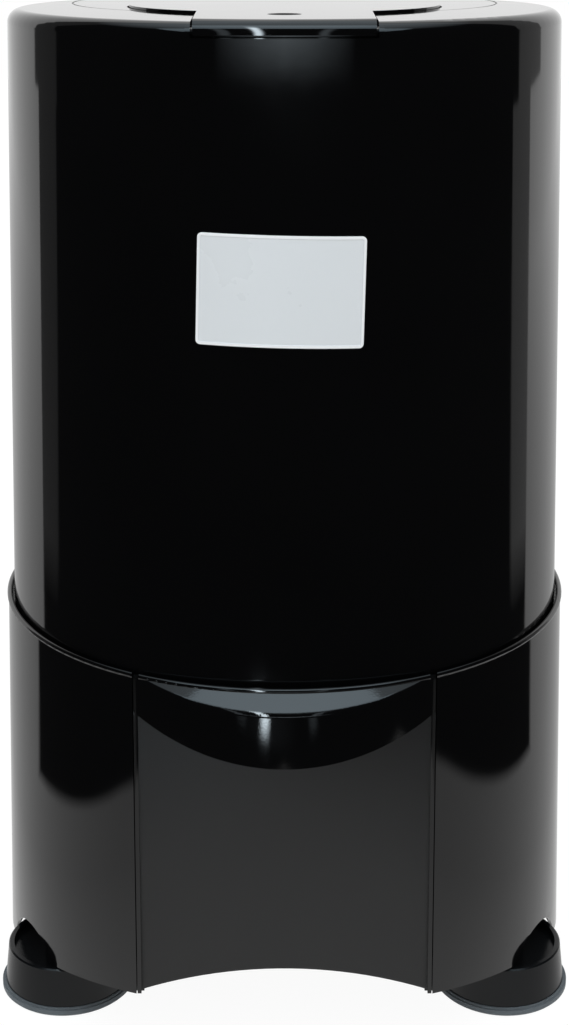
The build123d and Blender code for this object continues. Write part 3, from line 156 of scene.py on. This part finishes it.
def metal(name, dark, light, smooth, rough, grain_scale, grain, stretch=(1, 1, 1)):
    """Bare metal with a drawn, turned or cast grain: stretch sets the grain's direction."""
    material, tree, shader, place = blank_finish(name)
    shader.inputs["Metallic"].default_value = 1.0
    mottle(tree, place, shader, dark, light, 25.0)
    handled(tree, place, shader, smooth, rough, 40.0)
    run = add_node(tree, "ShaderNodeMapping")
    run.inputs["Scale"].default_value = stretch
    grain_cloud = add_node(tree, "ShaderNodeTexNoise", {"Scale": grain_scale, "Detail": 3.0})
    bump = add_node(tree, "ShaderNodeBump", {"Strength": grain, "Distance": 0.0003})
    join(tree, place, "Object", run, "Vector")
    join(tree, run, "Vector", grain_cloud, "Vector")
    join(tree, grain_cloud, "Fac", bump, "Height")
    join(tree, bump, "Normal", shader, "Normal")
    return material


gloss_black = moulded(
    "gloss_black_moulding", casing_dark, casing_light, casing_smooth, casing_rough, 60.0, 0.02
)
panel_black = hood_and_recess("panel_black_moulding")
satin_black = moulded(
    "satin_black_moulding", (0.006, 0.006, 0.007), (0.010, 0.010, 0.011), 0.20, 0.32, 1500.0, 0.10
)
cup_black = moulded(
    "cup_black_moulding",
    (0.0030, 0.0034, 0.0040), (0.0050, 0.0056, 0.0064), 0.14, 0.24, 1500.0, 0.10, ior=1.34,
)
button_black = moulded(
    "button_black", (0.004, 0.004, 0.005), (0.007, 0.007, 0.008), 0.55, 0.70, 1200.0, 0.08, ior=1.12
)
natural_white = moulded(
    "natural_white_moulding", (0.62, 0.62, 0.60), (0.70, 0.70, 0.68), 0.28, 0.42, 700.0, 0.05
)
grey_moulding = moulded(
    "grey_moulding", (0.16, 0.165, 0.17), (0.20, 0.205, 0.21), 0.35, 0.5, 900.0, 0.08
)
inner_black = moulded(
    "inner_black_moulding", (0.014, 0.014, 0.015), (0.020, 0.020, 0.022), 0.35, 0.5, 1200.0, 0.1
)
badge_white = moulded(
    "badge_white", (0.76, 0.78, 0.79), (0.81, 0.83, 0.845), 0.25, 0.35, 900.0, 0.03
)
badge_rim_white = moulded(
    "badge_rim_white", (0.94, 0.95, 0.95), (0.96, 0.96, 0.96), 0.25, 0.35, 900.0, 0.02
)
sole_rubber = rubber("sole_rubber", (0.090, 0.106, 0.118), (0.130, 0.150, 0.164))
black_rubber = rubber("black_rubber", (0.012, 0.012, 0.013), (0.020, 0.020, 0.021))
seal_rubber = rubber("seal_rubber", (0.10, 0.10, 0.105), (0.14, 0.14, 0.145))
drum_steel = metal(
    "drum_steel", (0.56, 0.56, 0.55), (0.66, 0.66, 0.65), 0.22, 0.34, 220.0, 0.12, (1, 1, 12)
)
zinc_plate = metal("zinc_plate", (0.50, 0.51, 0.52), (0.62, 0.62, 0.61), 0.30, 0.45, 160.0, 0.10)
cast_alloy = metal("cast_alloy", (0.40, 0.41, 0.42), (0.50, 0.50, 0.51), 0.45, 0.6, 500.0, 0.35)
ground_steel = metal(
    "ground_steel", (0.50, 0.50, 0.51), (0.60, 0.60, 0.60), 0.15, 0.25, 400.0, 0.08, (1, 1, 20)
)
spring_steel = metal(
    "spring_steel", (0.30, 0.30, 0.31), (0.42, 0.42, 0.43), 0.25, 0.4, 300.0, 0.08
)
stacked_steel = metal(
    "stacked_steel", (0.22, 0.22, 0.23), (0.34, 0.34, 0.35), 0.4, 0.55, 1.0, 0.1, (1, 1, 2200)
)
wound_copper = metal(
    "wound_copper", (0.60, 0.25, 0.12), (0.75, 0.36, 0.18), 0.3, 0.45, 1.0, 0.3, (900, 900, 1200)
)
brake_lining = moulded(
    "brake_lining", (0.045, 0.035, 0.028), (0.075, 0.060, 0.050), 0.7, 0.85, 500.0, 0.5
)

finishes = {
    gloss_black: ["upper_shell", "lid", "base_shell"],
    panel_black: ["front_panel"],
    button_black: ["lid_button"],
    satin_black: ["cord_gland"],
    cup_black: ["foot_cup_left", "foot_cup_right", "foot_cup_rear"],
    inner_black: [
        "floor_pan", "lock_housing", "start_switch", "rod_cage", "brake_bracket", "interlock_rod",
    ],
    natural_white: ["lid_liner", "tub", "tub_cover", "balance_ring", "lock_bolt", "cooling_fan"],
    grey_moulding: ["capacitor", "drain_spout"],
    sole_rubber: ["foot_pad_left", "foot_pad_right", "foot_pad_rear"],
    black_rubber: [
        "rubber_mount_left", "rubber_mount_right", "rubber_mount_rear", "drain_sleeve", "shaft_seal",
    ],
    seal_rubber: ["lid_seal", "tub_boot"],
    drum_steel: ["drum"],
    zinc_plate: [
        "carrier_plate", "brake_lever", "capacitor_clip", "tub_bolts", "mount_studs",
        "motor_bolts", "casing_screws", "hub_nut", "brake_drum",
    ],
    cast_alloy: ["drum_hub", "bearing_housing", "upper_end_shield", "lower_end_shield"],
    ground_steel: ["drive_shaft", "hinge_pins", "brake_pin", "upper_bearing", "lower_bearing"],
    spring_steel: ["rod_spring"],
    stacked_steel: ["stator", "rotor"],
    wound_copper: ["windings"],
    brake_lining: ["brake_shoe"],
}
for material, names in finishes.items():
    for name in names:
        nodes[name].data.materials.clear()
        nodes[name].data.materials.append(material)


# Modelling helpers: everything is deselected first, then faces are picked by place

def begin(name, add, **settings):
    """Adds a primitive as a new piece and opens it for editing."""
    bpy.ops.object.select_all(action="DESELECT")
    add(**settings)
    piece = bpy.context.object
    piece.name = name
    piece.data.name = name
    bpy.ops.object.mode_set(mode="EDIT")
    bpy.ops.mesh.select_mode(type="FACE")
    return piece


def pick_faces(piece, test):
    """Selects only the faces that pass the test."""
    mesh = bmesh.from_edit_mesh(piece.data)
    for group in (mesh.faces, mesh.edges, mesh.verts):
        for item in group:
            item.select = False
    for face in mesh.faces:
        if test(face):
            face.select_set(True)
    bmesh.update_edit_mesh(piece.data)
    bpy.ops.mesh.select_mode(type="FACE")


def applied(piece, kind, **settings):
    modifier = piece.modifiers.new(kind.title(), kind)
    for key, value in settings.items():
        setattr(modifier, key, value)
    bpy.context.view_layer.objects.active = piece
    bpy.ops.object.modifier_apply(modifier=modifier.name)


def close_up(piece, material, angle):
    """Leaves edit mode, settles the piece at the origin and gives it its finish."""
    if piece.mode == "EDIT":
        bpy.ops.object.mode_set(mode="OBJECT")
    bpy.ops.object.select_all(action="DESELECT")
    piece.select_set(True)
    bpy.context.view_layer.objects.active = piece
    bpy.ops.object.transform_apply(location=True, rotation=True, scale=True)
    bpy.ops.object.shade_smooth_by_angle(angle=radians(angle))
    piece.data.materials.clear()
    piece.data.materials.append(material)


# Bare badge: a white plate bent to the casing's front facet, with a thin raised rim. The facet is
# a cone about its own upright axis, given by its radius and height at the top and at the bottom.

badge_middle = (-2.0 * mm, 451.9 * mm)
badge_size = (89.5 * mm, 60.0 * mm)
badge_thickness = 0.9 * mm
badge_corner = 2.4 * mm
badge_edge = 0.25 * mm
badge_edge_rise = 0.18 * mm
badge_rim = 1.2 * mm
badge_step = 0.3 * mm
badge_sink = 0.2 * mm
badge_tilt = 1.4
badge_columns = 12
facet_axis = 22.8 * mm
facet_top = (186.3 * mm, 592.0 * mm)
facet_low = (190.2 * mm, 222.0 * mm)
facet_slope = (facet_low[0] - facet_top[0]) / (facet_top[1] - facet_low[1])
facet_at_badge = facet_top[0] + facet_slope * (facet_top[1] - badge_middle[1])


def badge_plate():
    width, height = badge_size
    upright = (pi / 2, 0, 0)
    axis = (0, 0, 0)
    piece = begin("badge_plate", bpy.ops.mesh.primitive_plane_add, size=1, rotation=upright)
    bpy.ops.transform.resize(value=(width, 1, height))
    bpy.ops.mesh.bevel(offset=badge_corner, segments=6, affect="VERTICES")
    bpy.ops.object.mode_set(mode="OBJECT")
    bpy.ops.object.transform_apply(location=False, rotation=True, scale=False)
    applied(piece, "SOLIDIFY", thickness=badge_thickness, offset=1.0)
    bpy.ops.object.mode_set(mode="EDIT")
    pick_faces(piece, lambda face: face.normal.y < -0.9)
    bpy.ops.mesh.inset(thickness=badge_edge, depth=badge_edge_rise)
    bpy.ops.mesh.inset(thickness=badge_rim)
    bpy.ops.mesh.inset(thickness=badge_step, depth=-badge_step)
    for column in range(1, badge_columns):
        pick_faces(piece, lambda face: True)
        across = width * (column / badge_columns - 0.5)
        bpy.ops.mesh.bisect(plane_co=(across, 0, 0), plane_no=(1, 0, 0))
    bpy.ops.object.mode_set(mode="OBJECT")
    on_rim = [
        abs(face.center.x) > width / 2 - badge_rim or abs(face.center.z) > height / 2 - badge_rim
        for face in piece.data.polygons
    ]
    bend = width / facet_at_badge
    applied(piece, "SIMPLE_DEFORM", deform_method="BEND", deform_axis="Z", angle=bend)
    bpy.ops.object.mode_set(mode="EDIT")
    pick_faces(piece, lambda face: True)
    bpy.ops.transform.rotate(value=facet_slope, orient_axis="X", center_override=axis)
    bpy.ops.transform.rotate(value=-radians(badge_tilt), orient_axis="Y", center_override=axis)
    bpy.ops.transform.translate(value=(0, badge_sink - facet_at_badge, badge_middle[1]))
    turn = -badge_middle[0] / facet_at_badge
    bpy.ops.transform.rotate(value=turn, orient_axis="Z", center_override=axis)
    bpy.ops.transform.translate(value=(0, facet_axis, 0))
    close_up(piece, badge_white, 20)
    piece.data.materials.append(badge_rim_white)
    for face, rim in zip(piece.data.polygons, on_rim):
        face.material_index = int(rim)
    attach(piece, "casing")


badge_plate()


# Studio: a white paper sweep that ends short of the camera, with a dark room in front of it, a
# window straight ahead and a soft box overhead. The room exists only in what gloss mirrors: the
# upper half is in the world, the lower half in the floor.

def number(tree, operation, first, second):
    """One sum on two values, each of them a number or a socket."""
    made = add_node(tree, "ShaderNodeMath", operation=operation)
    for slot, value in enumerate((first, second)):
        if isinstance(value, (int, float)):
            made.inputs[slot].default_value = value
        else:
            tree.links.new(value, made.inputs[slot])
    return made.outputs[0]


def ramp(tree, value, low, high, start, end):
    """Rises from start to end while the value runs from low to high."""
    made = add_node(
        tree, "ShaderNodeMapRange", {"From Min": low, "From Max": high, "To Min": start, "To Max": end}
    )
    tree.links.new(value, made.inputs["Value"])
    return made.outputs["Result"]


def tinted(tree, amount, colour):
    """A grey amount turned into light of one colour."""
    made = add_node(tree, "ShaderNodeVectorMath", operation="SCALE")
    made.inputs[0].default_value = colour
    tree.links.new(amount, made.inputs["Scale"])
    return made.outputs["Vector"]


def summed(tree, first, second):
    made = add_node(tree, "ShaderNodeVectorMath", operation="ADD")
    tree.links.new(first, made.inputs[0])
    tree.links.new(second, made.inputs[1])
    return made.outputs["Vector"]


def by_ray(tree, seen, mirrored, lighting):
    """Colours for what the camera sees, what gloss mirrors and what lights the object."""
    ray = add_node(tree, "ShaderNodeLightPath")
    first = add_node(tree, "ShaderNodeMix", data_type="RGBA")
    second = add_node(tree, "ShaderNodeMix", data_type="RGBA")
    join(tree, ray, "Is Glossy Ray", first, "Factor")
    first.inputs["A"].default_value = lighting
    tree.links.new(mirrored, first.inputs["B"])
    join(tree, ray, "Is Camera Ray", second, "Factor")
    join(tree, first, "Result", second, "A")
    second.inputs["B"].default_value = seen
    return second.outputs["Result"]


white = (1.0, 1.0, 1.0)
window_blue = (0.80, 0.92, 1.0)
room_dark = 0.015
left_wall = 0.13
right_wall = 0.30
middle_soft = 0.01
ahead_least = 0.2
eye_level = 0.5
window_width = 0.42
window_height = 0.074
window_strength = 4.6
window_most = 2.4

# The sky's values are parts of a direction. Edges are given for the left and for the right
sky_seen = (1, 1, 1, 1)
sky_light = (0.78, 0.78, 0.78, 1)
sky_paper_edges = (0.52, 0.61)
sky_wall_edges = (0.25, 0.33)
sky_front = (-0.3, -0.6)
ceiling_rise = (0.72, 0.95)
ceiling_strength = 1.4

# Lit places: four limits across and four along (rise, full, hold, end), then the strength
sky_patches = [
    ((-0.19, -0.165, -0.145, -0.12), (-0.02, 0.05, 0.75, 0.95), 18.0),
    ((-0.40, -0.37, -0.34, -0.31), (-0.02, 0.05, 0.60, 0.80), 0.8),
    ((0.20, 0.225, 0.25, 0.28), (-0.02, 0.05, 0.60, 0.80), 1.0),
]
floor_patches = [
    ((-0.122, -0.100, -0.086, -0.064), (-0.70, -0.66, -0.645, -0.605), 18.0),
    ((-0.20, -0.10, -0.04, 0.06), (-0.76, -0.68, -0.62, -0.59), 0.08),
    ((-0.235, -0.215, -0.195, -0.175), (-0.70, -0.66, -0.62, -0.60), 0.28),
    ((0.110, 0.130, 0.145, 0.165), (-0.70, -0.66, -0.63, -0.61), 0.45),
]

# The floor's values are metres. The paper is a sheet in front with cut corners, and widens behind
floor_size = 12
paper_left = -0.41
paper_right = 0.45
paper_side_soft = 0.012
paper_front = -0.56
paper_front_soft = 0.02
paper_corner = 0.45
paper_back_slope = 0.546
paper_back_edge = (-0.18, -0.16)
wall_slope = 0.268
wall_edge = (-0.14, -0.10)
wall_aside = (0.75, 0.95)
paper_near = (0.08, 0.30, 0.85, 0.58)
paper_far = (0.5, 2.2, 0.0, 0.42)
paper_glow = 0.94
paper_shadow = (0.12, 0.12, 0.12, 1)
paper_bounce = (0.8, 0.8, 0.8, 1)


def side_value(tree, x, left, right):
    """One value on the left of the middle and another on the right."""
    return ramp(tree, x, -middle_soft, middle_soft, left, right)


def side_walls(tree, x, edge_value, paper_edges, wall_edges):
    """The sweep, and beside it a strip of wall, which is lighter on the right."""
    wall = side_value(tree, x, left_wall, right_wall)
    past_paper = number(tree, "SUBTRACT", edge_value, side_value(tree, x, *paper_edges))
    past_wall = number(tree, "SUBTRACT", edge_value, side_value(tree, x, *wall_edges))
    paper = side_value(tree, past_paper, 0.0, 1.0)
    strip = side_value(tree, past_wall, 0.0, 1.0)
    beside = number(tree, "MAXIMUM", number(tree, "MULTIPLY", wall, strip), room_dark)
    return number(tree, "MAXIMUM", beside, paper)


def window_glow(tree, across, down):
    """A soft patch of daylight straight ahead, fading out sideways and downwards."""
    wide = ramp(tree, number(tree, "ABSOLUTE", across, 0.0), 0.0, window_width, 1.0, 0.0)
    high = ramp(tree, number(tree, "ABSOLUTE", down, 0.0), 0.0, window_height, window_strength, 0.0)
    return number(tree, "MULTIPLY", wide, number(tree, "MINIMUM", high, window_most))


def lit_patches(tree, first, second, patches):
    """Lit places with soft edges: over its four limits each way, one rises, holds and falls."""
    total = 0.0
    for across, along, strength in patches:
        made = strength
        for value, (start, full, hold, end) in ((first, across), (second, along)):
            made = number(tree, "MULTIPLY", ramp(tree, value, start, full, 0.0, 1.0), made)
            made = number(tree, "MULTIPLY", ramp(tree, value, hold, end, 1.0, 0.0), made)
        total = number(tree, "ADD", made, total)
    return total


def axes_of(tree, space):
    """The three coordinates in one of the texture spaces."""
    place = add_node(tree, "ShaderNodeTexCoord")
    parts = add_node(tree, "ShaderNodeSeparateXYZ")
    join(tree, place, space, parts, "Vector")
    return [parts.outputs[axis] for axis in "XYZ"]


def studio_world():
    """An even light from all sides, and the upper half of what gloss mirrors."""
    world = bpy.data.worlds.new("studio")
    scene.world = world
    world.use_nodes = True
    tree = world.node_tree
    tree.nodes.clear()
    sky = add_node(tree, "ShaderNodeBackground")
    output = add_node(tree, "ShaderNodeOutputWorld")
    join(tree, sky, "Background", output, "Surface")
    x, y, z = axes_of(tree, "Generated")
    room = side_walls(tree, x, y, sky_paper_edges, sky_wall_edges)
    in_front = ramp(tree, y, *sky_front, 0.0, 1.0)
    ahead = number(tree, "ADD", window_glow(tree, x, z), lit_patches(tree, x, z, sky_patches))
    ceiling = ramp(tree, z, *ceiling_rise, 0.0, ceiling_strength)
    daylight = number(tree, "ADD", number(tree, "MULTIPLY", ahead, in_front), ceiling)
    mirrored = summed(tree, tinted(tree, room, white), tinted(tree, daylight, window_blue))
    tree.links.new(by_ray(tree, sky_seen, mirrored, sky_light), sky.inputs["Color"])


def mirrored_paper(tree, x, y):
    """How light each place of the floor is in the gloss: sheet, wall beside it, dark room."""
    aside = number(tree, "ABSOLUTE", x, 0.0)

    def past_line(slope):
        return number(tree, "SUBTRACT", y, number(tree, "MULTIPLY", aside, slope))

    def past_side(edge, start, end):
        return ramp(tree, x, edge - paper_side_soft, edge + paper_side_soft, start, end)

    front = (paper_front - paper_front_soft, paper_front + paper_front_soft)
    sheet = ramp(tree, past_line(paper_corner), *front, 0.0, 1.0)
    sheet = number(tree, "MULTIPLY", sheet, past_side(paper_left, 0.0, 1.0))
    sheet = number(tree, "MULTIPLY", sheet, past_side(paper_right, 1.0, 0.0))
    behind = ramp(tree, past_line(paper_back_slope), *paper_back_edge, 0.0, 1.0)
    paper = number(tree, "MAXIMUM", sheet, behind)
    light = number(tree, "ADD", ramp(tree, aside, *paper_near), ramp(tree, aside, *paper_far))
    paper = number(tree, "MULTIPLY", paper, light)
    strip = number(
        tree, "MULTIPLY",
        ramp(tree, past_line(wall_slope), *wall_edge, 0.0, 1.0),
        ramp(tree, aside, *wall_aside, 0.0, 1.0),
    )
    wall = number(tree, "MULTIPLY", side_value(tree, x, left_wall, right_wall), strip)
    return number(tree, "MAXIMUM", paper, number(tree, "MAXIMUM", wall, room_dark))


def studio_floor():
    """White paper for the camera, a soft bounce for the light, and the lower half of what gloss
    mirrors."""
    bpy.ops.object.select_all(action="DESELECT")
    bpy.ops.mesh.primitive_plane_add(size=floor_size, location=(0, 0, 0))
    floor = bpy.context.object
    floor.name = "studio_floor"
    material = bpy.data.materials.new("studio_floor")
    material.use_nodes = True
    tree = material.node_tree
    tree.nodes.clear()
    x, y, _ = axes_of(tree, "Object")
    paper = mirrored_paper(tree, x, y)
    ahead = number(tree, "MAXIMUM", number(tree, "MULTIPLY", y, -1.0), ahead_least)
    across = number(tree, "DIVIDE", x, ahead)
    down = number(tree, "DIVIDE", eye_level, ahead)
    lights = lit_patches(tree, x, y, floor_patches)
    lights = number(tree, "ADD", window_glow(tree, across, down), lights)
    mirrored = summed(tree, tinted(tree, paper, white), tinted(tree, lights, window_blue))
    glow = add_node(tree, "ShaderNodeEmission")
    tree.links.new(mirrored, glow.inputs["Color"])
    shadow = add_node(tree, "ShaderNodeBsdfDiffuse", {"Color": paper_shadow})
    bright = add_node(tree, "ShaderNodeEmission", {"Color": (1, 1, 1, 1), "Strength": paper_glow})
    seen = add_node(tree, "ShaderNodeAddShader")
    join(tree, shadow, "BSDF", seen, 0)
    join(tree, bright, "Emission", seen, 1)
    bounce = add_node(tree, "ShaderNodeBsdfDiffuse", {"Color": paper_bounce})
    ray = add_node(tree, "ShaderNodeLightPath")
    to_gloss = add_node(tree, "ShaderNodeMixShader")
    join(tree, ray, "Is Glossy Ray", to_gloss, "Fac")
    join(tree, bounce, "BSDF", to_gloss, 1)
    join(tree, glow, "Emission", to_gloss, 2)
    to_camera = add_node(tree, "ShaderNodeMixShader")
    join(tree, ray, "Is Camera Ray", to_camera, "Fac")
    join(tree, to_gloss, "Shader", to_camera, 1)
    join(tree, seen, "Shader", to_camera, 2)
    output = add_node(tree, "ShaderNodeOutputMaterial")
    join(tree, to_camera, "Shader", output, "Surface")
    floor.data.materials.append(material)


studio_world()
studio_floor()

box_place = Vector((0, -0.80, 1.75))
box_aim = Vector((0, -0.18, 0.23))
box_light = bpy.data.lights.new("soft_box", "AREA")
box_light.shape = "RECTANGLE"
box_light.size = 2.2
box_light.size_y = 0.62
box_light.energy = 8.0
box_light.color = (0.70, 0.88, 1.0)
soft_box = bpy.data.objects.new("soft_box", box_light)
scene.collection.objects.link(soft_box)
soft_box.location = box_place
soft_box.rotation_euler = (box_aim - box_place).to_track_quat("-Z", "Y").to_euler()

# The camera stands close, just above the lid, and looks down a little
camera_pitch = 10.8
camera_data = bpy.data.cameras.new("camera")
camera = bpy.data.objects.new("camera", camera_data)
scene.collection.objects.link(camera)
scene.camera = camera
camera.location = (0, -1.094, 0.6483)
camera.rotation_euler = (radians(90 - camera_pitch), 0, 0)
camera_data.sensor_width = 36
camera_data.lens = 63.64
camera_data.shift_y = -0.25
camera_data.clip_start = 0.01

scene.view_settings.view_transform = "Standard"
